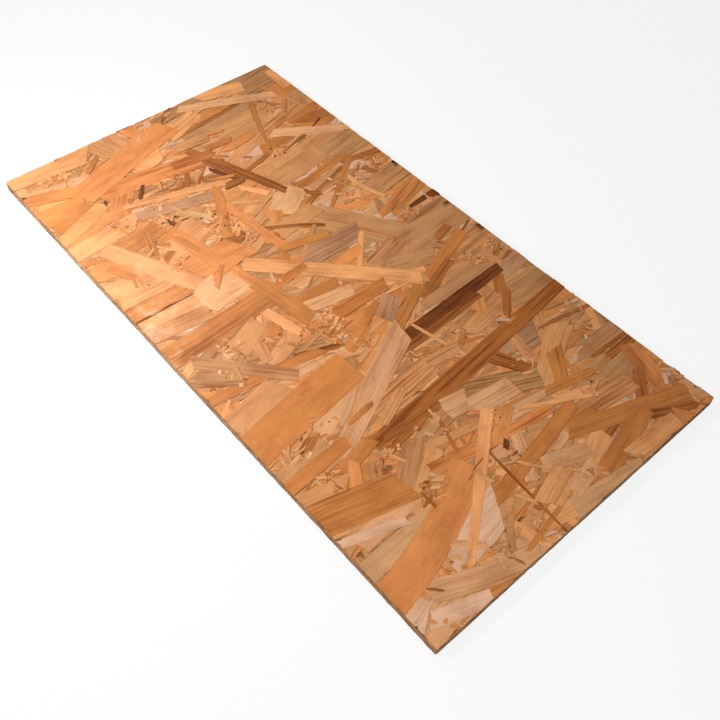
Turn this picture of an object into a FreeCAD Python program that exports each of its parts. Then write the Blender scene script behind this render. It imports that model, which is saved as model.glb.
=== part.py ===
import FreeCAD, Part
import os

# An offcut of oriented strand board, lying flat. It is one pressed panel of wood strands and
# resin, sawn square on all four sides, so it is one solid. Sizes are in millimetres.
# X runs along the length, Y across the width and Z up through the thickness.
# The origin is at the middle of the underside.

boardLength = 570.0
boardWidth = 300.0
boardThickness = 9.0
cornerWear = 2.5  # radius that handling has rubbed on the four upright corners
arrisWear = 0.4  # radius on the sawn arrises around both faces

undersideHeight = 0.0
topHeight = undersideHeight + boardThickness
sameHeight = 1e-4  # heights closer than this are one height


# The panel as it leaves the saw.
def sawnPanel():
    lowCorner = FreeCAD.Vector(-boardLength / 2, -boardWidth / 2, undersideHeight)
    return Part.makeBox(boardLength, boardWidth, boardThickness, lowCorner)


# Every edge that starts at one height and reaches another, or stays there if they are the same.
def edgesBetween(shape, lowest, highest):
    found = []
    for edge in shape.Edges:
        reach = edge.BoundBox
        if abs(reach.ZMin - lowest) < sameHeight and abs(reach.ZMax - highest) < sameHeight:
            found.append(edge)
    return found


# The corners are rubbed round first, so that the broken arrises run on around them.
def wornPanel():
    panel = sawnPanel()
    corners = edgesBetween(panel, undersideHeight, topHeight)
    panel = panel.makeFillet(cornerWear, corners)
    underArrises = edgesBetween(panel, undersideHeight, undersideHeight)
    topArrises = edgesBetween(panel, topHeight, topHeight)
    return panel.makeFillet(arrisWear, underArrises + topArrises)


os.makedirs("parts", exist_ok=True)
wornPanel().exportStep("parts/osb_board.step")
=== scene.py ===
import math
import bmesh
import bpy
import numpy as np
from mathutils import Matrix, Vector


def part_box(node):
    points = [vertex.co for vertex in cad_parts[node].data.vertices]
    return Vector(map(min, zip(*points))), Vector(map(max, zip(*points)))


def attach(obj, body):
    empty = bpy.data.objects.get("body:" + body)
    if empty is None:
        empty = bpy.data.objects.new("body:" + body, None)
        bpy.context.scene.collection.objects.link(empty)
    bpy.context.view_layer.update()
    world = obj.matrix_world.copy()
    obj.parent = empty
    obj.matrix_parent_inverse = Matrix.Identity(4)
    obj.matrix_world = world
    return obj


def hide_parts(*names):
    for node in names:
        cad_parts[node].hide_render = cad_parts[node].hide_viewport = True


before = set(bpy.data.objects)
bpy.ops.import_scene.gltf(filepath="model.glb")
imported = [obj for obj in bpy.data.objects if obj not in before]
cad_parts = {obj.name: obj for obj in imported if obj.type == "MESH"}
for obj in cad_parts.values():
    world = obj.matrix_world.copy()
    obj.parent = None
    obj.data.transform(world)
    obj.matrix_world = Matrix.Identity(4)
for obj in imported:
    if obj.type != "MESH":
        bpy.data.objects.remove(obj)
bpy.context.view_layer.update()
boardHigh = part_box("osb_board")[1]
halfLength = boardHigh.x
halfWidth = boardHigh.y
boardThickness = boardHigh.z
mm = 0.001
print("frame loaded")


# A socket that takes part in sums. An expression on it adds the Math nodes.
class Value:
    def __init__(self, tree, socket):
        self.tree = tree
        self.socket = socket

    def math(self, operation, *terms):
        return self.tree.add("ShaderNodeMath", {"operation": operation}, dict(enumerate(terms)))

    def beside(self, name):
        return Value(self.tree, self.socket.node.outputs[name])

    def parts(self):
        split = self.tree.add("ShaderNodeSeparateXYZ", {}, {"Vector": self})
        return split, split.beside("Y"), split.beside("Z")

    def scaled(self, size):
        sockets = {"Vector": self, "Scale": size}
        return self.tree.add("ShaderNodeVectorMath", {"operation": "SCALE"}, sockets)

    def __add__(self, other):
        return self.math("ADD", self, other)

    def __sub__(self, other):
        return self.math("SUBTRACT", self, other)

    def __rsub__(self, other):
        return self.math("SUBTRACT", other, self)

    def __mul__(self, other):
        return self.math("MULTIPLY", self, other)

    def __truediv__(self, other):
        return self.math("DIVIDE", self, other)

    def __abs__(self):
        return self.math("ABSOLUTE", self)

    def fraction(self):
        return self.math("FRACT", self)

    def least(self, other):
        return self.math("MINIMUM", self, other)

    def most(self, other):
        return self.math("MAXIMUM", self, other)

    __radd__ = __add__
    __rmul__ = __mul__


# A node tree that is written one line for each node.
class Tree:
    def __init__(self, nodeTree):
        self.nodeTree = nodeTree

    def find(self, sockets, key):
        if isinstance(key, int):
            return sockets[key]
        for socket in sockets:
            if socket.identifier == key:
                return socket
        return sockets[key]

    def add(self, kind, settings, sockets, output=0):
        node = self.nodeTree.nodes.new(kind)
        for name, setting in settings.items():
            setattr(node, name, setting)
        for key, value in sockets.items():
            socket = self.find(node.inputs, key)
            if isinstance(value, Value):
                self.nodeTree.links.new(value.socket, socket)
            else:
                socket.default_value = value
        if not node.outputs:
            return node
        return Value(self, self.find(node.outputs, output))

    def vector(self, x, y, z):
        return self.add("ShaderNodeCombineXYZ", {}, {"X": x, "Y": y, "Z": z})

    def noise(self, place, detail=2.0, roughness=0.5):
        sockets = {"Vector": place, "Scale": 1.0, "Detail": detail, "Roughness": roughness}
        return self.add("ShaderNodeTexNoise", {}, sockets)

    def ramp(self, value, start, end, low=0.0, high=1.0):
        sockets = {"Value": value, "From Min": start, "From Max": end, "To Min": low, "To Max": high}
        return self.add("ShaderNodeMapRange", {"interpolation_type": "SMOOTHSTEP"}, sockets)

    def blend(self, amount, first, second, how="MIX"):
        settings = {"data_type": "RGBA", "blend_type": how, "clamp_factor": True}
        sockets = {"Factor_Float": amount, "A_Color": first, "B_Color": second}
        return self.add("ShaderNodeMix", settings, sockets, "Result_Color")


# Written colours are the everyday 0 to 255 kind; shaders want them linear.
def linear(red, green, blue):
    def light(level):
        share = level / 255
        return share / 12.92 if share <= 0.04045 else ((share + 0.055) / 1.055) ** 2.4
    return (light(red), light(green), light(blue), 1.0)


woodTones = {
    "whitish": linear(214, 171, 140),
    "silver": linear(183, 135, 99),
    "pale": linear(213, 159, 113),
    "cream": linear(221, 156, 100),
    "tan": linear(201, 142, 91),
    "grey": linear(183, 132, 86),
    "orange": linear(209, 136, 76),
    "amber": linear(190, 121, 61),
    "brown": linear(169, 103, 48),
    "dark": linear(163, 98, 43),
    "chocolate": linear(119, 64, 19),
}


# One strand of wood, a thin flake laid flat. Ends and sizes are in millimetres from the middle
# of the board. bend bows it sideways, taper is its second end's width against its first end's
# and rings is how much of its grain shows.
def strand(x1, y1, x2, y2, width, tone, bend=0.0, taper=1.0, rings=None):
    return {
        "ends": (x1, y1, x2, y2), "width": width, "tone": tone,
        "bend": bend, "taper": taper, "rings": rings,
    }


# The strands that show best on the upper face, from the lowest to the uppermost.
upperStrands = [
    # back left
    strand(-268, 158, -262, 95, 48, "grey"),
    strand(-255, 138, -192, 146, 26, "amber"),
    strand(-232, 152, -190, 118, 22, "grey"),
    strand(-266, 117, -195, 136, 5, "orange", bend=3, taper=0.5),
    strand(-243, 106, -232, 6, 19, "grey", rings=0.3),
    strand(-247, 86, -239, 10, 4, "brown", taper=0.6),
    strand(-222, 104, -224, 40, 20, "tan"),
    strand(-208, 90, -206, 40, 16, "tan"),
    strand(-207, 138, -176, 22, 13, "tan", bend=-3, rings=0.9),
    strand(-224, 128, -206, 115, 5, "amber", taper=0.5),
    strand(-268, 108, -286, 50, 18, "cream"),
    strand(-254, 80, -249, 34, 12, "amber", taper=0.7),
    strand(-262, 44, -246, 2, 20, "cream", rings=0.7),
    strand(-278, 60, -272, 2, 14, "grey"),
    strand(-236, 126, -277, 34, 11, "pale", taper=1.1),
    strand(-198, 156, -188, 108, 12, "amber"),
    strand(-180, 150, -184, 114, 15, "brown"),
    strand(-170, 153, -184, 112, 8, "amber", bend=7),
    strand(-177, 137, -169, 119, 3, "chocolate", taper=0.5),
    strand(-153, 132, -141, 42, 21, "tan", rings=0.5),
    strand(-175, 98, -172, 60, 13, "amber"),
    strand(-146, 149, -188, 84, 13, "pale"),
    strand(-166, 108, -157, 74, 3, "brown", taper=0.5),
    strand(-240, 98, -172, 70, 6, "amber", bend=-2, taper=0.5),
    strand(-164, 62, -157, 31, 5, "brown"),
    strand(-200, 70, -195, 30, 12, "orange", taper=0.7),
    strand(-221, 50, -227, 31, 5, "orange"),
    strand(-205, 48, -209, 20, 9, "amber"),
    strand(-222, 32, -226, -4, 12, "tan"),
    strand(-152, 60, -118, 48, 10, "tan"),
    # back middle, left half
    strand(-140, 156, -129, 92, 20, "grey", rings=0.4),
    strand(-137, 104, -128, 42, 24, "tan"),
    strand(-121, 156, -117, 108, 12, "grey"),
    strand(-101, 156, -111, 108, 9, "brown", taper=0.8),
    strand(-100, 108, -98, 62, 17, "grey"),
    strand(-118, 122, -108, 55, 9, "amber", bend=-1),
    strand(-105, 106, -92, 58, 5, "brown", taper=0.8),
    strand(-92, 64, -84, 43, 6, "brown"),
    strand(-111, 119, -66, 58, 7, "amber", taper=0.6, rings=0.6),
    strand(-99, 139, -74, 121, 6, "amber"),
    strand(-93, 119, -78, 125, 6, "brown"),
    strand(-70, 156, -63, 102, 24, "grey", rings=0.6),
    strand(-92, 101, -48, 109, 5, "cream", bend=-3),
    strand(-50, 156, -27, 88, 15, "orange", rings=0.9),
    strand(-40, 150, -24, 98, 6, "amber", rings=0.6),
    strand(-24, 152, -23, 141, 8, "chocolate"),
    strand(-24, 137, -23, 116, 6, "chocolate", taper=0.6),
    strand(-9, 156, -4, 92, 17, "grey", rings=0.3),
    strand(-28, 98, -27, 70, 17, "whitish", taper=1.2),
    strand(-74, 38, 8, 92, 32, "grey", rings=0.2),
    strand(-40, 57, 4, 85, 3, "amber", taper=0.5),
    strand(-112, 52, -90, 20, 26, "pale"),
    strand(-98, 18, -85, 8, 16, "orange"),
    strand(-78, 50, -72, 2, 18, "tan"),
    strand(-30, 60, -33, -2, 22, "silver", taper=1.05),
    strand(-27, 61, 4, 31, 5, "cream"),
    strand(-12, 48, -9, 16, 12, "orange"),
    strand(-54, 41, -88, -10, 5, "brown", bend=-2),
    strand(-60, 34, -34, -2, 5, "tan"),
    strand(-43, 37, -56, -8, 9, "amber"),
    strand(-122, 40, -104, -2, 5, "tan"),
    # back middle, right half
    strand(8, 158, 10, 72, 32, "grey", rings=0.2),
    strand(17, 126, 22, 106, 7, "brown"),
    strand(39, 156, 44, 104, 22, "tan", rings=0.9),
    strand(24, 146, 32, 124, 3, "dark", taper=0.5),
    strand(3, 80, 12, 44, 20, "grey", rings=0.9),
    strand(34, 92, 22, 52, 20, "grey", rings=0.3),
    strand(30, 132, 58, 50, 14, "amber", taper=0.8),
    strand(66, 132, 64, 82, 20, "tan"),
    strand(48, 98, 66, 48, 8, "brown", taper=1.5),
    strand(52, 142, 70, 152, 7, "silver"),
    strand(61, 144, 70, 132, 6, "brown"),
    strand(58, 124, 100, 128, 12, "tan"),
    strand(74, 146, 78, 132, 3, "dark"),
    strand(72, 122, 72, 42, 12, "grey"),
    strand(50, 62, 84, -8, 10, "amber", rings=0.7),
    strand(50, 46, 60, 16, 6, "amber"),
    strand(46, 30, 62, 8, 18, "silver"),
    strand(114, 158, 110, 98, 28, "grey", taper=0.9),
    strand(84, 158, 88, 120, 16, "silver"),
    strand(105, 102, 112, 46, 24, "tan", rings=0.5),
    strand(96, 100, 112, 14, 8, "grey", rings=0.8),
    strand(92, 84, 106, 74, 13, "orange"),
    strand(88, 116, 104, 102, 10, "brown"),
    strand(103, 110, 128, 84, 9, "brown", taper=0.6),
    strand(92, 88, 97, -8, 9, "brown", taper=0.8),
    strand(82, 125, 87, 9, 11, "chocolate", taper=1.1),
    strand(106, 50, 120, 30, 14, "tan"),
    strand(80, 21, 131, 32, 3, "cream"),
    strand(127, 58, 105, -2, 3, "amber"),
    strand(-2, 4, 52, 68, 9, "tan"),
    strand(-62, -44, 48, 64, 16, "cream", rings=0.3),
    strand(33, 36, 32, -24, 14, "amber"),
    strand(122, 34, 118, 0, 12, "tan", rings=0.6),
    # back right
    strand(144, 156, 190, 132, 9, "cream", rings=0.5),
    strand(190, 157, 190, 116, 15, "grey"),
    strand(157, 142, 162, 112, 12, "grey"),
    strand(174, 132, 178, 104, 6, "amber"),
    strand(199, 157, 198, 108, 4, "brown"),
    strand(206, 157, 206, 116, 9, "brown"),
    strand(206, 119, 207, 96, 12, "grey"),
    strand(220, 134, 222, 100, 22, "grey"),
    strand(208, 141, 259, 126, 18, "orange", taper=0.9),
    strand(227, 129, 250, 106, 10, "brown"),
    strand(232, 114, 224, 40, 19, "tan", taper=0.8, rings=1.0),
    strand(158, 118, 196, 48, 20, "cream", taper=0.8, rings=0.4),
    strand(152, 94, 150, 58, 22, "silver"),
    strand(140, 76, 166, 70, 10, "tan"),
    strand(172, 92, 200, 70, 14, "amber", taper=0.8, rings=0.6),
    strand(162, 158, 150, 98, 4, "brown", taper=0.6),
    strand(184, 62, 152, -4, 22, "grey", rings=1.0),
    strand(176, 40, 170, 0, 18, "pale"),
    strand(139, 44, 174, 61, 14, "dark", taper=0.8),
    strand(207, 100, 184, 2, 8, "amber"),
    strand(215, 80, 206, 50, 7, "cream"),
    strand(199, 52, 193, 18, 12, "pale"),
    strand(209, 50, 199, -18, 9, "orange", rings=1.0),
    strand(186, 20, 205, -8, 12, "orange"),
    strand(231, 70, 226, 38, 9, "amber", taper=0.5),
    strand(250, 60, 262, 30, 20, "cream", rings=0.3),
    strand(268, 142, 232, 40, 17, "amber", taper=0.8, rings=0.4),
    strand(279, 134, 258, 92, 8, "brown"),
    strand(256, 100, 276, 18, 15, "amber", rings=0.3),
    strand(276, 122, 290, 116, 16, "orange"),
    strand(279, 112, 277, 60, 17, "cream", rings=0.5),
    strand(271, 138, 279, 156, 10, "pale"),
    strand(252, 40, 238, 2, 14, "pale"),
    strand(247, 8, 274, 34, 3, "cream"),
    strand(288, 60, 276, -10, 17, "pale", rings=0.3),
    strand(217, 62, 237, -58, 12, "amber", bend=1),
    # the long strand that crosses the right half
    strand(127, 157, 151, -79, 12, "dark", taper=1.8, rings=0.5),
    # front left
    strand(-262, -18, -288, -26, 14, "orange"),
    strand(-288, -44, -258, -40, 15, "tan"),
    strand(-284, -64, -254, -56, 14, "tan"),
    strand(-276, -70, -281, -158, 24, "cream"),
    strand(-264, -78, -274, -158, 7, "cream", taper=1.4),
    strand(-240, -84, -252, -156, 16, "pale"),
    strand(-230, -100, -252, -158, 15, "orange", taper=0.9),
    strand(-214, -108, -218, -158, 24, "orange"),
    strand(-232, -16, -224, -48, 20, "cream"),
    strand(-206, -76, -176, -98, 24, "orange"),
    strand(-196, 20, -216, -92, 22, "orange", rings=0.8),
    strand(-261, 10, -222, -108, 28, "orange", rings=0.2),
    strand(-264, -66, -248, -86, 5, "amber"),
    strand(-204, -96, -198, -146, 9, "amber", taper=1.5),
    strand(-188, -96, -172, -152, 17, "orange", taper=0.7),
    strand(-202, -96, -178, -156, 14, "cream"),
    strand(-166, -84, -162, -150, 20, "cream"),
    strand(-170, -20, -166, -48, 10, "orange"),
    strand(-204, -92, -199, -96, 4, "chocolate"),
    strand(-190, -14, -174, -25, 5, "brown"),
    strand(-177, -26, -179, -40, 3, "brown"),
    strand(-202, -55, -187, -67, 4, "chocolate"),
    strand(-148, -8, -168, -82, 14, "silver"),
    strand(-178, -56, -144, -46, 4, "tan"),
    strand(-156, 8, -188, -84, 8, "cream", rings=0.4),
    strand(-193, -73, -188, -78, 5, "brown"),
    strand(-146, -72, -140, -124, 20, "amber"),
    # the two dark strands over the left half
    strand(-217, 5, -150, 22, 10, "brown"),
    strand(-182, 5, -150, 19, 4, "chocolate"),
    strand(-190, 16, -112, 43, 9, "dark", rings=0.5),
    strand(-150, 22, -152, 3, 9, "dark"),
    strand(-200, 22, -206, -20, 12, "amber", rings=0.9),
    strand(-160, 18, -170, -6, 4, "amber"),
    # front middle, left half
    strand(-122, -42, -106, -96, 26, "cream"),
    strand(-80, -28, -84, -84, 30, "orange"),
    strand(-132, -68, -24, -50, 15, "orange"),
    strand(-126, -70, -98, -63, 5, "amber"),
    strand(-132, -12, -58, -4, 9, "orange"),
    strand(-157, -4, -90, -38, 9, "amber", taper=1.1),
    strand(-52, -56, -48, -102, 36, "pale", rings=0.3),
    strand(-94, -20, -85, -28, 5, "brown"),
    strand(-96, -34, -84, -28, 8, "brown"),
    strand(-72, -40, -66, -72, 12, "orange"),
    strand(-72, -58, -53, -77, 5, "orange"),
    strand(-148, -86, -106, -100, 8, "amber", rings=0.9),
    strand(-113, -81, -104, -100, 8, "brown"),
    strand(-96, -94, -98, -158, 34, "cream"),
    strand(-124, -112, -136, -156, 26, "orange"),
    strand(-152, -126, -66, -86, 17, "cream"),
    strand(-130, -134, -106, -124, 9, "amber"),
    strand(-70, -98, -72, -158, 16, "orange", rings=0.7),
    strand(-52, -97, -54, -158, 16, "cream"),
    strand(-36, -96, -44, -158, 16, "tan", rings=0.6),
    strand(-60.5, -96, -62, -150, 1.6, "chocolate"),
    strand(-148, -62, -138, -62, 5, "chocolate"),
    strand(-14, -36, -9, -158, 12, "amber", rings=0.7),
    strand(-26, -3, -20, -158, 10, "amber", taper=1.4, rings=0.6),
    # front middle, right half
    strand(5, 6, 3, -38, 11, "amber"),
    strand(20, 10, 12, -34, 14, "pale"),
    strand(-38, -48, 24, -38, 16, "amber"),
    strand(-8, -62, 30, -54, 9, "cream"),
    strand(2, -72, 12, -102, 22, "tan"),
    strand(8, -64, 30, -80, 11, "amber"),
    strand(28, -58, 40, -92, 15, "tan"),
    strand(16, -86, 36, -92, 10, "tan"),
    strand(44, 16, 64, -30, 8, "amber"),
    strand(58, -8, 68, -36, 10, "amber"),
    strand(60, -62, 57, -92, 13, "pale"),
    strand(102, -52, 112, -108, 24, "pale"),
    strand(60, -98, 74, -158, 26, "tan", rings=0.1),
    strand(60, -38, 44, -73, 6, "dark", taper=0.6, rings=0.8),
    strand(54, -52, 39, -158, 10, "amber", bend=-2),
    strand(14, -146, 38, -116, 14, "grey", rings=1.0),
    strand(62, -82, -2, -138, 12, "grey", rings=0.3),
    strand(120, 4, 126, -62, 20, "tan", rings=1.0),
    strand(122, -28, 138, -62, 9, "tan", rings=0.5),
    strand(80, 12, 136, -106, 21, "pale"),
    strand(96, -46, 121, -80, 4, "tan"),
    strand(118, -55, 121, -82, 5, "amber"),
    strand(80, -44, 96, -158, 33, "amber", rings=0),
    strand(118, -104, 128, -158, 16, "grey", rings=0.05),
    strand(132, -92, 136, -158, 12, "amber"),
    # front right
    strand(142, -78, 150, -112, 12, "amber"),
    strand(147, -100, 172, -116, 9, "orange"),
    strand(158, -114, 148, -158, 14, "tan"),
    strand(160, -12, 170, -64, 14, "grey", rings=0.7),
    strand(162, 2, 158, -18, 20, "pale"),
    strand(150, -16, 148, -70, 7, "brown"),
    strand(162, -52, 190, -88, 18, "grey", rings=0.8),
    strand(170, -42, 206, -96, 8, "tan"),
    strand(196, -92, 200, -140, 16, "pale"),
    strand(186, -84, 166, -158, 28, "amber", rings=0.4),
    strand(185, 0, 173, -52, 7, "tan"),
    strand(199, -14, 189, -62, 11, "orange", rings=1.0),
    strand(160, -27, 192, -37, 3, "brown"),
    strand(240, -46, 246, -100, 30, "whitish"),
    strand(270, -38, 276, -6, 12, "cream"),
    strand(264, -100, 276, -158, 24, "pale", rings=0.4),
    strand(284, -96, 262, -158, 12, "whitish"),
    strand(252, -134, 258, -158, 20, "whitish"),
    strand(284, -70, 280, -96, 16, "orange"),
    strand(284, -50, 254, -128, 17, "pale", bend=2, rings=0.3),
    strand(268, -8, 277, -56, 4, "amber"),
    strand(204, -19, 290, -25, 2, "dark"),
    strand(216, -76, 218, -158, 17, "pale"),
    strand(207, -102, 188, -158, 7, "whitish"),
    strand(203, -38, 243, -158, 26, "orange", bend=6, rings=0.05),
    strand(238, -92, 256, -74, 6, "pale"),
    strand(178, 8, 260, -94, 11, "cream", taper=0.5),
    strand(112, -108, 121, -126, 9, "brown"),
    strand(-291, 34, -268, 9, 6, "dark", taper=0.6),
    strand(-103, 56, -89, 66, 4, "dark", bend=-2),
    # little pieces that lie on top
    strand(206, -1, 212, -8, 4, "chocolate"),
    strand(231, -6, 272, 32, 2.5, "cream"),
    strand(194, 27, 224, 84, 4, "cream"),
    strand(251, -127, 260, -119, 2, "dark"),
    strand(204, -76, 207, -87, 2.5, "dark"),
    strand(197, -80, 212, -80, 2.5, "dark"),
    strand(4, -115, 13, -102, 2, "amber"),
    strand(-26, 149, -17, 149, 3, "chocolate"),
    strand(252, 14, 262, -18, 20, "cream", rings=0.6),
    strand(-36, 108, -32, 88, 8, "amber"),
    strand(262, 34, 268, 4, 12, "pale"),
]

# Where small chips and splinters gather: middle, reach and how many.
chipPatches = [
    (-230, 105, 18, 16), (-163, 70, 11, 14), (-85, 88, 18, 20), (-90, 128, 14, 12), (-20, 108, 13, 14),
    (60, 112, 14, 14), (60, 141, 10, 8), (124, 82, 10, 8), (165, 62, 14, 14), (166, 130, 16, 16),
    (213, 84, 11, 12), (280, 62, 10, 8), (262, 24, 15, 14), (250, 145, 12, 8), (280, 140, 10, 8),
    (-252, -112, 18, 22), (-268, -18, 12, 10), (-190, -28, 13, 14), (-170, -62, 12, 12), (-152, -66, 12, 12),
    (-166, -96, 14, 14), (-150, -142, 15, 14), (-114, -30, 16, 16), (-122, -92, 14, 14), (-94, -84, 10, 10),
    (-98, -126, 12, 10), (-86, -24, 10, 10), (-32, -30, 8, 8), (30, -30, 15, 20), (26, -72, 12, 14),
    (66, -20, 10, 12), (10, -106, 12, 12), (30, -122, 14, 12), (112, -98, 15, 16), (118, -132, 15, 22),
    (106, 2, 10, 10), (164, -30, 15, 18), (158, -76, 14, 18), (202, -70, 13, 16), (214, -36, 11, 10),
    (226, -6, 11, 12), (268, -70, 15, 16), (272, -30, 12, 12), (254, -96, 10, 10), (275, -135, 14, 10),
    (152, -122, 10, 8), (-275, 25, 10, 8), (192, 8, 9, 8), (108, 42, 10, 10), (48, -34, 9, 10),
]


# The loose figures for everything that is laid without being placed strand by strand.
matSizes = {
    "topSeed": 31,
    "undersideSeed": 57,
    "undersideWide": 150,
    "undersidePatches": 30,
    "bedStrands": 330,
    "bedSmall": 470,
    "bedLengths": (70, 150),
    "bedWidths": (10, 30),
    "smallLengths": (25, 75),
    "smallWidths": (2.5, 11),
    "scatter": 32,  # degrees either side of the short way of the board
    "stepDown": 0.035,  # how much lower a strand lies for each one that covers it
    "relief": 0.8,  # the steps shrink with depth and never reach below this
    "skin": 0.02,  # how far the uppermost strand lies below the board's face
    "flake": 0.6,  # how thick a strand is
    "chipFlake": 0.2,
    "chipsBelow": (1.5, 1.3),  # how many chips lie below the strands that show, and how widely spread
    "chipsAbove": (0.7, 0.8),
}
bedTones = ["tan", "tan", "tan", "tan", "cream", "cream", "orange", "orange", "grey", "grey",
            "pale", "pale", "whitish", "amber"]
chipTones = ["cream", "cream", "tan", "tan", "tan", "tan", "whitish", "orange", "orange", "grey",
             "pale", "pale", "amber", "amber", "orange", "tan", "cream", "brown", "dark", "chocolate"]
chipSizes = {
    "shortest": 3,
    "longer": 11,  # the most that chance adds to the shortest
    "widths": (0.9, 4.2),
    # The dark chips are short and narrow: painted shade of the small pits between chips.
    "shadePitWidths": (0.6, 1.6),
    "shadePitShare": 0.35,  # dark chips are this much of the others' length
    "bend": 0.12,
}


# Corners of every strand's outline, for finding which ones cross.
def outlines(lay):
    alongX, alongY = np.cos(lay["turn"]) / 2, np.sin(lay["turn"]) / 2
    reach = np.stack([alongX * lay["length"], alongY * lay["length"]], 1)
    side = np.stack([-alongY * lay["width"], alongX * lay["width"]], 1)
    middle = np.stack([lay["x"], lay["y"]], 1)
    first, second = middle + reach, middle - reach
    return np.stack([first + side, first - side, second - side, second + side], 1)


# Which of the outlines cross this one, by looking along the sides of both.
def crossing(corners, axes, at, others):
    hit = np.ones(len(others), bool)
    for axis in range(2):
        way = axes[at, axis]
        mine = corners[at] @ way
        theirs = corners[others] @ way
        hit &= (theirs.max(1) > mine.min()) & (theirs.min(1) < mine.max())
        ways = axes[others, axis]
        mine = ways @ corners[at].T
        theirs = np.einsum("nkc,nc->nk", corners[others], ways)
        hit &= (theirs.max(1) > mine.min(1)) & (theirs.min(1) < mine.max(1))
    return hit


# The uppermost strand is flush with the face; each one that is covered lies a step lower.
def settle(lay):
    count = len(lay["x"])
    corners = outlines(lay)
    axes = np.stack([np.stack([np.cos(lay["turn"]), np.sin(lay["turn"])], 1),
                     np.stack([-np.sin(lay["turn"]), np.cos(lay["turn"])], 1)], 1)
    depth = np.zeros(count)
    for at in range(count - 2, -1, -1):
        above = np.arange(at + 1, count)
        hit = crossing(corners, axes, at, above)
        if hit.any():
            depth[at] = depth[above][hit].max() + 1
    return depth


# Strands that are placed one by one.
def placedStrands(rows, rng):
    columns = {key: [] for key in ("x", "y", "length", "width", "turn", "bend", "taper", "rings", "kind")}
    tones = []
    for row in rows:
        x1, y1, x2, y2 = row["ends"]
        columns["x"].append((x1 + x2) / 2)
        columns["y"].append((y1 + y2) / 2)
        columns["length"].append(math.hypot(x2 - x1, y2 - y1))
        columns["turn"].append(math.atan2(y2 - y1, x2 - x1))
        columns["width"].append(row["width"])
        columns["bend"].append(row["bend"])
        columns["taper"].append(row["taper"])
        columns["rings"].append(rng.uniform(0.05, 0.5) if row["rings"] is None else row["rings"])
        columns["kind"].append(1)
        tones.append(woodTones[row["tone"]][:3])
    lay = {key: np.array(column, float) for key, column in columns.items()}
    lay["tone"] = np.array(tones)
    return lay


# Strands that cover the whole face on a shaken grid, mostly along the short way of the board.
def scatteredStrands(count, lengths, widths, kind, rng):
    columns = max(1, round(math.sqrt(count * halfLength / halfWidth)))
    rows = math.ceil(count / columns)
    cell = np.arange(columns * rows)
    rng.shuffle(cell)
    spotX = (cell % columns + rng.uniform(0, 1, len(cell))) / columns
    spotY = (cell // columns + rng.uniform(0, 1, len(cell))) / rows
    number = len(cell)
    spread = math.radians(matSizes["scatter"])
    lay = {
        "x": (spotX * 2 - 1) * halfLength / mm,
        "y": (spotY * 2 - 1) * halfWidth / mm,
        "length": rng.uniform(*lengths, number),
        "width": widths[0] + (widths[1] - widths[0]) * rng.uniform(0, 1, number) ** 1.6,
        "turn": math.pi / 2 + rng.normal(0, spread, number) + math.pi * rng.integers(0, 2, number),
        "bend": rng.normal(0, 1.2, number),
        "taper": rng.uniform(0.7, 1.1, number),
        "rings": 0.8 * rng.uniform(0, 1, number) ** 1.4,
        "kind": np.full(number, float(kind)),
    }
    picks = rng.integers(0, len(bedTones), number)
    lay["tone"] = np.array([woodTones[bedTones[pick]][:3] for pick in picks])
    return lay


# Chips in little heaps that lie every way; the small dark ones among them are painted shade of the pits
# between chips.
def chips(patches, share, spread, rng):
    parts = []
    for x, y, reach, few in patches:
        number = round(few * share)
        far = spread * reach * rng.uniform(0, 1, number) ** 0.6
        way = rng.uniform(0, 2 * math.pi, number)
        picks = rng.integers(0, len(chipTones), number)
        length = chipSizes["shortest"] + chipSizes["longer"] * rng.uniform(0, 1, number) ** 1.8
        tone = np.array([woodTones[chipTones[pick]][:3] for pick in picks])
        # The last two chip tones, dark and chocolate, make the small dark chips: painted shade of the pits
        # between chips.
        dark = picks >= len(chipTones) - 2
        parts.append({
            "x": x + far * np.cos(way), "y": y + far * np.sin(way),
            "length": np.where(dark, length * chipSizes["shadePitShare"], length),
            "width": np.where(dark, rng.uniform(*chipSizes["shadePitWidths"], number),
                              rng.uniform(*chipSizes["widths"], number)),
            "turn": rng.uniform(0, 2 * math.pi, number),
            "bend": rng.normal(0, chipSizes["bend"], number), "taper": rng.uniform(0.4, 1.0, number),
            "rings": rng.uniform(0, 0.6, number), "kind": np.full(number, 2.0), "tone": tone,
        })
    return joined(parts)


def joined(parts):
    return {key: np.concatenate([part[key] for part in parts]) for key in parts[0]}


def chosen(lay, mask):
    return {key: column[mask] for key, column in lay.items()}


# The room between strands on the bake layout, and how far their backs lie below it.
baking = {
    "gap": 1.6,
    "backDrop": 1.2 * mm,
}


# Gives every strand its own room on the bake layout, in rows, widest first.
def layOutRooms(lay):
    gap = baking["gap"]
    long = lay["length"] + gap
    wide = lay["width"] + 2 * gap
    order = np.argsort(-wide)
    side = math.sqrt((long * wide).sum()) * 1.04
    while True:
        roomX, roomY = np.zeros(len(long)), np.zeros(len(long))
        x, y, row = 0.0, 0.0, 0.0
        for at in order:
            if x + long[at] > side:
                x, y, row = 0.0, y + row, 0.0
            roomX[at], roomY[at] = x + gap / 2, y + gap
            x += long[at]
            row = max(row, wide[at])
        if y + row <= side:
            return roomX, roomY, 1 / side
        side *= 1.03


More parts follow.
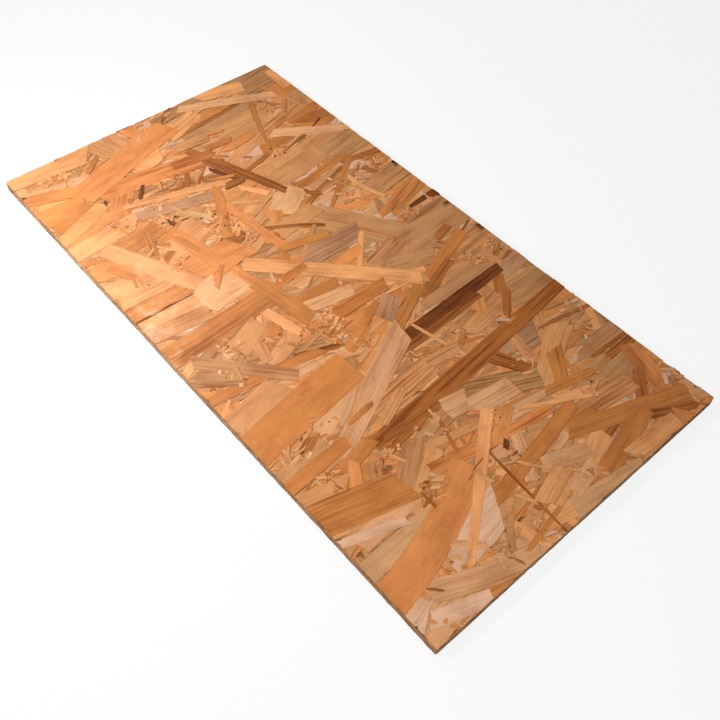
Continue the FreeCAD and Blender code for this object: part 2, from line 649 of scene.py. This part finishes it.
# Cloud of points, one for each strand, that carries the strand's sizes in metres.
def strandPoints(name, lay, flake, rng):
    number = len(lay["x"])
    roomX, roomY, roomScale = layOutRooms(lay)
    top = lay["z"] - flake / 2
    places = np.stack([lay["x"], lay["y"], top], 1) * mm
    mesh = bpy.data.meshes.new(name)
    mesh.from_pydata(places.tolist(), [], [])
    whims = {
        "turn": lay["turn"],
        "seed": rng.uniform(0, 100, number),
        "bend": lay["bend"] * mm,
        "taper": lay["taper"],
        "slantStart": rng.normal(0, 0.38, number) * lay["width"] * mm,
        "slantEnd": rng.normal(0, 0.38, number) * lay["width"] * mm,
        "pointed": rng.uniform(0, 0.5, number) * np.clip(1.1 - lay["width"] / 16, 0.1, 0.8),
        "roomX": roomX * mm,
        "roomY": roomY * mm,
        "roomScale": np.full(number, roomScale / mm),
    }
    for key, column in whims.items():
        mesh.attributes.new(key, "FLOAT", "POINT").data.foreach_set("value", column.astype(np.float32))
    size = np.stack([lay["length"] * mm, lay["width"] * mm, np.full(number, flake * mm)], 1)
    spacing = rng.uniform(1.2, 3.6, number) * mm
    figure = np.stack([lay["rings"], spacing, rng.uniform(0, 1, number)], 1)
    tint = lay["tone"] * rng.normal(1, 0.05, (number, 1)) * rng.normal(1, 0.015, (number, 3))
    for key, column in {"size": size, "figure": figure, "tone": tint}.items():
        data = mesh.attributes.new(key, "FLOAT_VECTOR", "POINT").data
        data.foreach_set("vector", column.astype(np.float32).ravel())
    return bpy.data.objects.new(name, mesh)


# The tree that lays a flake on every point, shapes it and gives it its bake layout.
def strandTree():
    group = bpy.data.node_groups.new("layStrands", "GeometryNodeTree")
    face = group.interface
    face.new_socket("Strands", in_out="INPUT", socket_type="NodeSocketGeometry")
    for name in ("Steps Along", "Steps Across"):
        face.new_socket(name, in_out="INPUT", socket_type="NodeSocketInt")
    for name in ("Splinter", "Waver", "Sink"):
        face.new_socket(name, in_out="INPUT", socket_type="NodeSocketFloat")
    face.new_socket("Wood", in_out="INPUT", socket_type="NodeSocketMaterial")
    face.new_socket("Mat", in_out="OUTPUT", socket_type="NodeSocketGeometry")
    tree = Tree(group)
    given = group.nodes.new("NodeGroupInput")
    points, stepsAlong, stepsAcross, splinter, waver, sink, wood = [
        Value(tree, socket) for socket in given.outputs[:7]]

    def stored(name, kind="FLOAT"):
        return tree.add("GeometryNodeInputNamedAttribute", {"data_type": kind}, {"Name": name})

    def store(geometry, name, value, kind, domain):
        settings = {"data_type": kind, "domain": domain}
        return tree.add("GeometryNodeStoreNamedAttribute", settings,
                        {"Geometry": geometry, "Name": name, "Value": value})

    counts = {"Size": (1, 1, 1), "Vertices X": stepsAlong + 1, "Vertices Y": stepsAcross + 1,
              "Vertices Z": 2}
    blank = tree.add("GeometryNodeMeshCube", {}, counts)
    blank = store(blank, "place", tree.add("GeometryNodeInputPosition", {}, {}), "FLOAT_VECTOR", "POINT")
    blank = store(blank, "facing", tree.add("GeometryNodeInputNormal", {}, {}), "FLOAT_VECTOR", "FACE")
    turn = tree.vector(0, 0, stored("turn"))
    laid = tree.add("GeometryNodeInstanceOnPoints", {}, {
        "Points": points, "Instance": blank, "Rotation": turn, "Scale": stored("size", "FLOAT_VECTOR")})
    flakes = tree.add("GeometryNodeRealizeInstances", {}, {"Geometry": laid})

    along, across, height = stored("place", "FLOAT_VECTOR").parts()
    length, width, thick = stored("size", "FLOAT_VECTOR").parts()
    seed = stored("seed")
    nearEnd = tree.ramp(abs(along), 0.32, 0.5)
    torn = tree.noise(tree.vector(across * width * 420, along * 3, seed), 3.0) - 0.5
    slant = across * (stored("slantStart") * (0.5 - along) + stored("slantEnd") * (along + 0.5))
    moveAlong = torn * splinter * nearEnd + slant
    wander = tree.noise(tree.vector(along * length * 45, across * 2, seed + 50), 2.0) - 0.5
    bow = stored("bend") * (1 - along * along * 4)
    narrowing = across * width * (stored("taper") - 1) * (along + 0.5)
    pointing = across * width * stored("pointed") * tree.ramp(abs(along), 0.3, 0.5)
    moveAcross = wander * waver * abs(across) * 2 + bow + narrowing - pointing
    rim = tree.ramp(abs(along).most(abs(across)), 0.4, 0.5)
    swell = tree.noise(tree.vector(along * length * 60, across * width * 60, seed + 20), 1.0) - 0.5
    upper = tree.ramp(height, 0, 0.1)
    lift = swell * sink * (1 - rim) * 0.2 - rim * sink
    moveUp = lift * upper
    move = tree.add("ShaderNodeVectorRotate", {"rotation_type": "Z_AXIS"}, {
        "Vector": tree.vector(moveAlong, moveAcross, moveUp), "Angle": stored("turn")})
    flakes = tree.add("GeometryNodeSetPosition", {}, {"Geometry": flakes, "Offset": move})

    # The top of each flake fills its room, its walls fold out around it and its back shrinks below.
    facing = stored("facing", "FLOAT_VECTOR").parts()
    below = 0.5 - height
    back = facing[2].math("LESS_THAN", facing[2], -0.5)
    placeX = stored("roomX") + (along + 0.5) * length * (1 - back * 0.98) + facing[0] * below * thick
    placeY = stored("roomY") + (across + 0.5) * width * (1 - back * 0.99) + facing[1] * below * thick
    placeY = placeY - back * baking["backDrop"]
    layout = tree.vector(placeX * stored("roomScale"), placeY * stored("roomScale"), 0)
    flakes = store(flakes, "OFBake", layout, "FLOAT2", "CORNER")
    flakes = tree.add("GeometryNodeSetShadeSmooth", {"domain": "FACE"}, {
        "Geometry": flakes, "Shade Smooth": True})
    bent = tree.add("GeometryNodeInputMeshEdgeAngle", {}, {})
    sharp = bent.math("GREATER_THAN", bent, 0.6)
    flakes = tree.add("GeometryNodeSetShadeSmooth", {"domain": "EDGE"}, {
        "Geometry": flakes, "Selection": sharp, "Shade Smooth": False})
    finished = tree.add("GeometryNodeSetMaterial", {}, {"Geometry": flakes, "Material": wood})
    result = group.nodes.new("NodeGroupOutput")
    group.links.new(finished.socket, result.inputs[0])
    return group


# Runs the tree on a cloud of points and returns a plain mesh object.
def layMat(name, cloud, tree, sizes, wood):
    bpy.context.scene.collection.objects.link(cloud)
    modifier = cloud.modifiers.new("lay", "NODES")
    modifier.node_group = tree
    wanted = dict(sizes, Wood=wood)
    for item in tree.interface.items_tree:
        if item.in_out == "INPUT" and item.name in wanted:
            modifier[item.identifier] = wanted[item.name]
    graph = bpy.context.evaluated_depsgraph_get()
    mesh = bpy.data.meshes.new_from_object(cloud.evaluated_get(graph), depsgraph=graph)
    bpy.data.objects.remove(cloud)
    mesh.name = name
    piece = bpy.data.objects.new(name, mesh)
    bpy.context.scene.collection.objects.link(piece)
    return piece


sawing = {
    "cornerLeg": 1.2,
    "breakout": 0.5,  # how far the saw tears the strand ends in
    "uneven": 0.8,  # how far one strand's end stands back from the next
}
# Nicks in the sawn edges: along which edge, where, how deep and how long, in millimetres.
nicks = [
    ("far", -268, 1.3, 7), ("far", -215, 0.7, 5), ("far", -128, 1.6, 7), ("far", -78, 1.2, 8),
    ("far", -32, 1.2, 6), ("far", 96, 0.8, 9), ("far", 190, 1.0, 6), ("far", 238, 1.1, 9),
    ("far", 262, 1.4, 5),
    ("left", 118, 1.0, 8), ("left", 52, 1.7, 6), ("left", 30, 2.2, 9), ("left", -6, 1.5, 7),
    ("left", -25, 1.4, 7), ("left", -90, 0.8, 10), ("near", -190, 0.8, 6), ("near", 36, 1.0, 5),
    ("near", 170, 0.9, 7), ("right", 100, 1.2, 6), ("right", 18, 0.9, 8), ("right", -70, 1.1, 5),
]


# How far the sawn edge is torn in at a place along it.
def tornIn(edge, along, height):
    wave = math.sin(along * 2100 + height * 900) * math.sin(along * 713 + height * 2500)
    depth = sawing["breakout"] * mm * (0.5 + 0.5 * wave) * (0.4 + 0.6 * abs(math.sin(along * 161 + 2)))
    for where, middle, deep, long in nicks:
        if where == edge:
            off = (along / mm - middle) / (long / 2)
            depth += deep * mm * math.exp(-off * off) * (0.35 + 0.65 * height / boardThickness)
    return depth


# Saws the piece flush on all four sides and across the rubbed corners, and closes every cut.
def sawFlush(piece, endGrain):
    piece.data.materials.append(endGrain)
    cutSlot = len(piece.data.materials) - 1
    body = bmesh.new()
    body.from_mesh(piece.data)
    leg = sawing["cornerLeg"] * mm
    planes = [((halfLength, 0), (1, 0)), ((-halfLength, 0), (-1, 0))]
    planes += [((0, halfWidth), (0, 1)), ((0, -halfWidth), (0, -1))]
    for signX in (-1, 1):
        for signY in (-1, 1):
            planes.append(((signX * (halfLength - leg), signY * halfWidth), (signX, signY)))
    for (x, y), (wayX, wayY) in planes:
        everything = body.verts[:] + body.edges[:] + body.faces[:]
        bmesh.ops.bisect_plane(
            body, geom=everything, plane_co=(x, y, 0), plane_no=(wayX, wayY, 0), clear_outer=True)
        cutEdges = [edge for edge in body.edges if edge.is_boundary]
        for face in bmesh.ops.holes_fill(body, edges=cutEdges, sides=0)["faces"]:
            face.material_index = cutSlot
            face.smooth = False
            for edge in face.edges:
                edge.smooth = False
    closeBakeLayout(body, cutSlot)
    seeds = body.verts.layers.float["seed"]
    tiny = 1e-6
    for vert in body.verts:
        x, y, z = vert.co
        unevenness = sawing["uneven"] * mm * (vert[seeds] * 7.3 % 1) ** 2
        if abs(x) > halfLength - tiny:
            vert.co.x -= math.copysign(unevenness + tornIn("right" if x > 0 else "left", y, z), x)
        if abs(y) > halfWidth - tiny:
            vert.co.y -= math.copysign(unevenness + tornIn("far" if y > 0 else "near", x, z), y)
    body.to_mesh(piece.data)
    body.free()


# A sawn end has no room of its own on the bake layout, so it borrows the line where it meets its flake.
def closeBakeLayout(body, cutSlot):
    layout = body.loops.layers.uv.get("OFBake")
    if layout is None:
        return
    for face in body.faces:
        if face.material_index != cutSlot:
            continue
        for loop in face.loops:
            for other in loop.vert.link_loops:
                if other.face.material_index != cutSlot:
                    loop[layout].uv = other[layout].uv
                    break


# Turns a mat upside down for the underside.
def turnOver(piece):
    mesh = piece.data
    spots = np.empty(len(mesh.vertices) * 3, np.float32)
    mesh.vertices.foreach_get("co", spots)
    spots[2::3] = boardThickness - spots[2::3]
    mesh.vertices.foreach_set("co", spots)
    mesh.flip_normals()


# Drops the attributes that only the laying needed.
def dropWorkings(piece):
    kept = ("place", "size", "figure", "tone", "seed", "OFBake", "position", "material_index",
            "sharp_face", "sharp_edge")
    for name in [attribute.name for attribute in piece.data.attributes]:
        attribute = piece.data.attributes[name]
        if name not in kept and not name.startswith(".") and not attribute.is_internal:
            piece.data.attributes.remove(attribute)


finish = {
    "ringDepth": 0.42,
    "streak": 0.8,
    "darkStreak": 0.9,
    "blotch": 0.38,
    "stain": 0.25,
    # A thin darker rim along each strand's outline: painted shade of the gaps between strands.
    "gapShadeWidth": 0.45 * mm,
    "gapShadeDark": 0.34,
    "fibreStrength": 0.5,
    "mottle": 0.4,
    "fleck": 0.5,
    "pores": 0.3,
    "satin": 0.45,
    "resin": 0.15,
    "sheen": 0.25,
    "bump": 0.35,
    "bumpHeight": 0.12 * mm,
    "deepTint": (0.52, 0.36, 0.23, 1),
}


# The strands' own wood, with painted shade along each strand's outline. Every pattern runs along its own
# flake.
def strandWood(name):
    material = bpy.data.materials.new(name)
    material.use_nodes = True
    material.node_tree.nodes.clear()
    tree = Tree(material.node_tree)

    def stored(attribute):
        return tree.add("ShaderNodeAttribute", {"attribute_name": attribute}, {}, "Vector")

    shareAlong, shareAcross, _ = stored("place").parts()
    length, width, _ = stored("size").parts()
    rings, spacing, whim = stored("figure").parts()
    tone = stored("tone")
    seed = tree.add("ShaderNodeAttribute", {"attribute_name": "seed"}, {}, "Fac")
    along = shareAlong * length
    across = shareAcross * width

    sway = tree.noise(tree.vector(along * 14, across * 30, seed), 2.0) - 0.5
    phase = (across + sway * 0.006 + along * (whim - 0.5) * 0.05) / spacing
    cycle = phase.fraction()
    late = tree.ramp(cycle, 0.35, 0.9) * (1 - tree.ramp(cycle, 0.9, 1.0))
    shown = tree.noise(tree.vector(along * 20, across * 90, seed + 30), 1.0)
    ringMark = late * rings * (shown * 1.2 + 0.3)
    fibre = tree.noise(tree.vector(along * 90, across * 2200, seed + 7), 3.0, 0.65)
    streak = tree.noise(tree.vector(along * 16, across * 380, seed + 3), 3.0, 0.6)
    mottle = tree.noise(tree.vector(along * 55, across * 130, seed + 13), 3.0, 0.6)
    stain = tree.noise(tree.add("ShaderNodeTexCoord", {}, {}, "Object").scaled(45), 3.0, 0.6)
    speck = tree.noise(tree.vector(along * 480, across * 2100, seed + 21), 2.0)
    fleck = tree.ramp(speck, 0.6, 0.74)
    # Each strand darkens towards its outline: painted shade that stands in for the shadow lines in the gaps
    # between strands.
    edgeAcross = (0.5 - abs(shareAcross)) * width
    edgeAlong = (0.5 - abs(shareAlong)) * length
    ragged = tree.noise(tree.vector(along * 300, across * 300, seed + 40), 2.0)
    nearest = edgeAcross.least(edgeAlong)
    gapShadeReach = (ragged * 2 * finish["gapShadeWidth"]).least(width * 0.16)
    gapShade = 1 - tree.ramp(nearest, 0, gapShadeReach)
    gapShade = gapShade * tree.ramp(ragged, 0.35, 0.6)
    pores = tree.noise(tree.vector(along * 900, across * 1500, seed + 90), 3.0, 0.7)

    shade = 1.1 + (fibre - 0.5) * finish["fibreStrength"] + (mottle - 0.5) * finish["mottle"]
    shade = shade * (1 + (stain - 0.5) * finish["stain"] + (pores - 0.5) * finish["pores"])
    shade = shade * (1 - fleck * finish["fleck"] * whim) * (1 - gapShade * finish["gapShadeDark"])
    blotch = tree.noise(tree.vector(along * 26, across * 55, seed + 60), 3.0, 0.55)
    darkness = tree.ramp(tone.parts()[0], 0.3, 0.55, 1, 0)
    streaky = (rings + 0.12) * finish["streak"] + darkness * finish["darkStreak"]
    deep = tree.ramp(streak, 0.42, 0.72) * streaky + ringMark * finish["ringDepth"]
    deep = deep + tree.ramp(blotch, 0.42, 0.72) * finish["blotch"]
    ringTint = tree.blend(deep, (1, 1, 1, 1), finish["deepTint"])
    coloured = tree.blend(1.0, tone, ringTint, "MULTIPLY")
    grey = tree.vector(shade, shade, shade)
    coloured = tree.blend(1.0, coloured, grey, "MULTIPLY")
    height = fibre * 0.5 + mottle * 0.6 - ringMark * 0.35 - streak * 0.4 - fleck * 0.5 - gapShade * 0.8
    bump = tree.add("ShaderNodeBump", {}, {
        "Strength": finish["bump"], "Distance": finish["bumpHeight"], "Height": height})
    resin = tree.ramp(stain, 0.5, 0.62)
    roughness = finish["satin"] - resin * finish["resin"] + (mottle - 0.5) * 0.16
    roughness = roughness + (fibre - 0.5) * 0.12 + fleck * 0.1
    shader = tree.add("ShaderNodeBsdfPrincipled", {}, {
        "Base Color": coloured, "Roughness": roughness, "Normal": bump,
        "Specular IOR Level": finish["sheen"]})
    tree.add("ShaderNodeOutputMaterial", {}, {"Surface": shader})
    return material


endFinish = {
    "dull": 0.82,  # how far the ends turn to the dull colour
    "dullColour": linear(124, 112, 90),
    "bump": 0.6,
    "bumpHeight": 0.2 * mm,
}


# Sawn strand ends on the four edges, duller and greyer than the face.
def sawnEnds(name):
    material = bpy.data.materials.new(name)
    material.use_nodes = True
    material.node_tree.nodes.clear()
    tree = Tree(material.node_tree)
    place = tree.add("ShaderNodeTexCoord", {}, {}, "Object")
    x, y, z = place.parts()
    tone = tree.add("ShaderNodeAttribute", {"attribute_name": "tone"}, {}, "Vector")
    around = x + y
    grain = tree.noise(tree.vector(x * 900, y * 900, z * 2600), 3.0, 0.6)
    sawMarks = tree.noise(tree.vector(around * 1500, 0, z * 60), 2.0)
    patches = tree.noise(tree.vector(x * 60, y * 60, z * 200), 2.0)
    dull = tree.blend(endFinish["dull"], tone, endFinish["dullColour"])
    shade = 0.66 + grain * 0.44 + (sawMarks - 0.5) * 0.3 + (patches - 0.5) * 0.5
    coloured = tree.blend(1.0, dull, tree.vector(shade, shade, shade), "MULTIPLY")
    bump = tree.add("ShaderNodeBump", {}, {
        "Strength": endFinish["bump"], "Distance": endFinish["bumpHeight"],
        "Height": grain + sawMarks * 0.6})
    roughness = 0.78 + (grain - 0.5) * 0.2
    shader = tree.add("ShaderNodeBsdfPrincipled", {}, {
        "Base Color": coloured, "Roughness": roughness, "Normal": bump})
    tree.add("ShaderNodeOutputMaterial", {}, {"Surface": shader})
    return material


heartFinish = {
    "colour": linear(140, 88, 46),
    "bump": 0.6,
    "bumpHeight": 0.3 * mm,
}


# The dark pressed wood that shows only at the bottom of a gap.
def heartWood(name):
    material = bpy.data.materials.new(name)
    material.use_nodes = True
    material.node_tree.nodes.clear()
    tree = Tree(material.node_tree)
    x, y, z = tree.add("ShaderNodeTexCoord", {}, {}, "Object").parts()
    streak = tree.noise(tree.vector(x * 700, y * 120, z * 900), 3.0)
    shade = 0.6 + streak * 0.8
    coloured = tree.blend(1.0, heartFinish["colour"], tree.vector(shade, shade, shade), "MULTIPLY")
    bump = tree.add("ShaderNodeBump", {}, {
        "Strength": heartFinish["bump"], "Distance": heartFinish["bumpHeight"], "Height": streak})
    shader = tree.add("ShaderNodeBsdfPrincipled", {}, {
        "Base Color": coloured, "Roughness": 0.8 + (streak - 0.5) * 0.1, "Normal": bump})
    tree.add("ShaderNodeOutputMaterial", {}, {"Surface": shader})
    return material


flakeShape = {"Splinter": 5.0 * mm, "Waver": 1.6 * mm, "Sink": 0.012 * mm}
wideSteps = {"Steps Along": 8, "Steps Across": 5}
bedSteps = {"Steps Along": 5, "Steps Across": 3}
chipSteps = {"Steps Along": 4, "Steps Across": 2}
chipShape = {"Splinter": 2.2 * mm, "Waver": 0.5 * mm, "Sink": 0.01 * mm}

tree = strandTree()
wood = strandWood("strand wood")
ends = sawnEnds("sawn strand ends")
heart = heartWood("pressed heart")
print("woods mixed")


# One face of the board: a bed of strands, the strands that show and the chips, each its own piece.
def pressedFace(prefix, placed, patches, seed, flip):
    rng = np.random.default_rng(seed)
    bedShape = (matSizes["bedLengths"], matSizes["bedWidths"])
    smallShape = (matSizes["smallLengths"], matSizes["smallWidths"])
    bed = scatteredStrands(matSizes["bedStrands"], *bedShape, 0, rng)
    small = scatteredStrands(matSizes["bedSmall"], *smallShape, 0, rng)
    parts = [bed, small, chips(patches, *matSizes["chipsBelow"], rng)]
    if placed:
        parts.append(placedStrands(placed, rng))
    else:
        parts.append(scatteredStrands(matSizes["undersideWide"], *bedShape, 1, rng))
    parts.append(chips(patches, *matSizes["chipsAbove"], rng))
    lay = joined(parts)
    depth = settle(lay)
    print(prefix, "deepest strand lies under", int(depth.max()), "others")
    relief = matSizes["relief"]
    sunk = relief * (1 - np.exp(-depth * matSizes["stepDown"] / relief))
    lay["z"] = boardThickness / mm - matSizes["skin"] - sunk
    made = []
    groups = (("bed", 0, bedSteps, flakeShape, matSizes["flake"]),
              ("strands", 1, wideSteps, flakeShape, matSizes["flake"]),
              ("chips", 2, chipSteps, chipShape, matSizes["chipFlake"]))
    for label, kind, steps, shape, flake in groups:
        part = chosen(lay, lay["kind"] == kind)
        name = f"{prefix}_{label}"
        cloud = strandPoints(name, part, flake, rng)
        piece = layMat(name, cloud, tree, {**steps, **shape}, wood)
        if flip:
            turnOver(piece)
        sawFlush(piece, ends)
        dropWorkings(piece)
        made.append(piece)
        print(name, len(part["x"]), "strands", len(piece.data.polygons), "faces")
    return made


patchRng = np.random.default_rng(matSizes["undersideSeed"])
undersidePatches = [
    (patchRng.uniform(-270, 270), patchRng.uniform(-135, 135), patchRng.uniform(9, 18), 13)
    for _ in range(matSizes["undersidePatches"])]
pieces = pressedFace("upper_face", upperStrands, chipPatches, matSizes["topSeed"], False)
pieces += pressedFace("under_face", [], undersidePatches, matSizes["undersideSeed"], True)
print("faces pressed")

edgeSizes = {
    "seed": 12,
    "layers": 12,
    "lowest": 1.0,  # height of the lowest layer's top
    "highest": 8.3,
    "into": 16,  # how far a strand end reaches into the board
    "widths": (12, 44),
    "gap": 0.8,
    "flake": 0.62,
}


# The layers that the saw has opened, all round the board.
def openedLayers():
    rng = np.random.default_rng(edgeSizes["seed"])
    rows = {key: [] for key in ("x", "y", "z", "length", "width", "turn", "bend", "taper", "rings")}
    tones = []
    levels = np.linspace(edgeSizes["lowest"], edgeSizes["highest"], edgeSizes["layers"])
    for quarter in range(4):  # near, right, far and left
        onLong = quarter % 2 == 0
        reach = (halfLength if onLong else halfWidth) / mm
        rim = (halfWidth if onLong else halfLength) / mm
        for level in levels:
            at = -reach - rng.uniform(0, 20)
            while at < reach:
                wide = rng.uniform(*edgeSizes["widths"])
                out = -rim + rng.uniform(0.5, 3)
                middle = at + wide / 2
                angle = quarter * math.pi / 2
                rows["x"].append(middle * math.cos(angle) - out * math.sin(angle))
                rows["y"].append(middle * math.sin(angle) + out * math.cos(angle))
                rows["z"].append(level + rng.normal(0, 0.12))
                rows["length"].append(wide)
                rows["width"].append(edgeSizes["into"])
                rows["turn"].append(angle + rng.normal(0, 0.08))
                rows["bend"].append(0)
                rows["taper"].append(1)
                rows["rings"].append(rng.uniform(0, 0.6))
                tones.append(woodTones[bedTones[rng.integers(0, len(bedTones))]][:3])
                at += wide + rng.uniform(-2.5, edgeSizes["gap"])
    lay = {key: np.array(column, float) for key, column in rows.items()}
    lay["tone"] = np.array(tones)
    cloud = strandPoints("sawn_edges", lay, edgeSizes["flake"], rng)
    steps = {"Steps Along": 4, "Steps Across": 1}
    shape = {"Splinter": 0.5 * mm, "Waver": 0.0, "Sink": 0.0}
    piece = layMat("sawn_edges", cloud, tree, {**steps, **shape}, wood)
    sawFlush(piece, ends)
    dropWorkings(piece)
    return piece


pieces.append(openedLayers())
print("edges sawn", len(pieces[-1].data.polygons), "faces")

heartSizes = {"inset": 3.0, "below": 1.3, "corner": 4.0}


# The middle of the board behind the strands, which closes every gap.
def pressedHeart():
    inset = heartSizes["inset"] * mm
    below = heartSizes["below"] * mm
    body = bmesh.new()
    bmesh.ops.create_cube(body, size=1.0)
    for vert in body.verts:
        vert.co.x *= 2 * (halfLength - inset)
        vert.co.y *= 2 * (halfWidth - inset)
        vert.co.z = boardThickness / 2 + vert.co.z * (boardThickness - 2 * below)
    upright = [edge for edge in body.edges if abs(edge.verts[0].co.z - edge.verts[1].co.z) > below]
    bmesh.ops.bevel(
        body, geom=upright, offset=heartSizes["corner"] * mm, segments=3, affect="EDGES", profile=0.5)
    mesh = bpy.data.meshes.new("pressed_heart")
    body.to_mesh(mesh)
    body.free()
    piece = bpy.data.objects.new("pressed_heart", mesh)
    bpy.context.scene.collection.objects.link(piece)
    mesh.materials.append(heart)
    return piece


pieces.append(pressedHeart())

for piece in pieces:
    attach(piece, "root")
    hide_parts("osb_board")
print("pieces ride on the board", sum(len(piece.data.polygons) for piece in pieces), "faces in all")


studio = {
    "floorSize": 30.0,
    "floorColour": (0.86, 0.86, 0.86, 1),
    "floorGlow": 0.82,  # how much of the floor's own white the camera sees
    "skyStrength": 0.25,
    "lampAim": (-0.15, -0.20, 0.009),
    "lamps": {  # place, size, spread in degrees, power and colour
        "key lamp": ((-0.20, -0.50, 0.44), 0.3, 106, 1.72, (1.0, 0.96, 0.9)),
        "side lamp": ((0.60, -0.34, 0.50), 0.4, 150, 1.5, (1.0, 0.96, 0.9)),
        "glint lamp": ((-0.60, 0.07, 0.70), 0.06, 180, 2.2, (1.0, 0.95, 0.88)),
    },
}


def layFloor():
    half = studio["floorSize"] / 2
    mesh = bpy.data.meshes.new("floor")
    corners = [(-half, -half, 0), (half, -half, 0), (half, half, 0), (-half, half, 0)]
    mesh.from_pydata(corners, [], [(0, 1, 2, 3)])
    floor = bpy.data.objects.new("floor", mesh)
    bpy.context.scene.collection.objects.link(floor)
    material = bpy.data.materials.new("pale floor")
    material.use_nodes = True
    material.node_tree.nodes.clear()
    tree = Tree(material.node_tree)
    matt = tree.add("ShaderNodeBsdfDiffuse", {}, {"Color": studio["floorColour"]})
    glow = tree.add("ShaderNodeEmission", {}, {"Color": (1, 1, 1, 1), "Strength": 1.0})
    seen = tree.add("ShaderNodeLightPath", {}, {}, "Is Camera Ray")
    mixed = tree.add("ShaderNodeMixShader", {}, {0: seen * studio["floorGlow"], 1: matt, 2: glow})
    tree.add("ShaderNodeOutputMaterial", {}, {"Surface": mixed})
    mesh.materials.append(material)


def lightSky():
    world = bpy.data.worlds.new("studio")
    world.use_nodes = True
    world.node_tree.nodes.clear()
    tree = Tree(world.node_tree)
    path = tree.add("ShaderNodeLightPath", {}, {}, "Is Camera Ray")
    seen = path.most(path.beside("Is Transmission Ray"))
    strength = seen * (1 - studio["skyStrength"]) + studio["skyStrength"]
    sky = tree.add("ShaderNodeBackground", {}, {"Color": (1, 1, 1, 1), "Strength": strength})
    tree.add("ShaderNodeOutputWorld", {}, {"Surface": sky})
    bpy.context.scene.world = world


def aimed(thing, place, aim):
    thing.location = place
    thing.rotation_euler = (Vector(aim) - Vector(place)).to_track_quat("-Z", "Y").to_euler()


def hangLamps():
    for name, (place, size, spread, power, colour) in studio["lamps"].items():
        lamp = bpy.data.lights.new(name, "AREA")
        lamp.shape = "DISK"
        lamp.size = size
        lamp.spread = math.radians(spread)
        lamp.energy = power
        lamp.color = colour
        holder = bpy.data.objects.new(name, lamp)
        bpy.context.scene.collection.objects.link(holder)
        aimed(holder, place, studio["lampAim"])


viewing = {
    "fromTop": (0.3806, -0.3167, 0.5315),  # metres from the middle of the upper face
    "looking": (-0.4456, 0.4185, -0.7914),
    "up": (-0.6066, 0.5090, 0.6107),
    "lens": 42.68,
    "sensor": 36.0,
}


def setCamera():
    lens = bpy.data.cameras.new("camera")
    lens.lens = viewing["lens"]
    lens.sensor_width = viewing["sensor"]
    lens.clip_start = 0.01
    camera = bpy.data.objects.new("camera", lens)
    bpy.context.scene.collection.objects.link(camera)
    camera.location = Vector(viewing["fromTop"]) + Vector((0, 0, boardThickness))
    back = -Vector(viewing["looking"]).normalized()
    right = Vector(viewing["up"]).cross(back).normalized()
    up = back.cross(right)
    turn = camera.rotation_euler.to_matrix()
    for row in range(3):
        turn[row] = (right[row], up[row], back[row])
    camera.rotation_euler = turn.to_euler()
    bpy.context.scene.camera = camera


layFloor()
lightSky()
hangLamps()
setCamera()
bpy.context.scene.view_settings.view_transform = "Standard"
print("studio set")
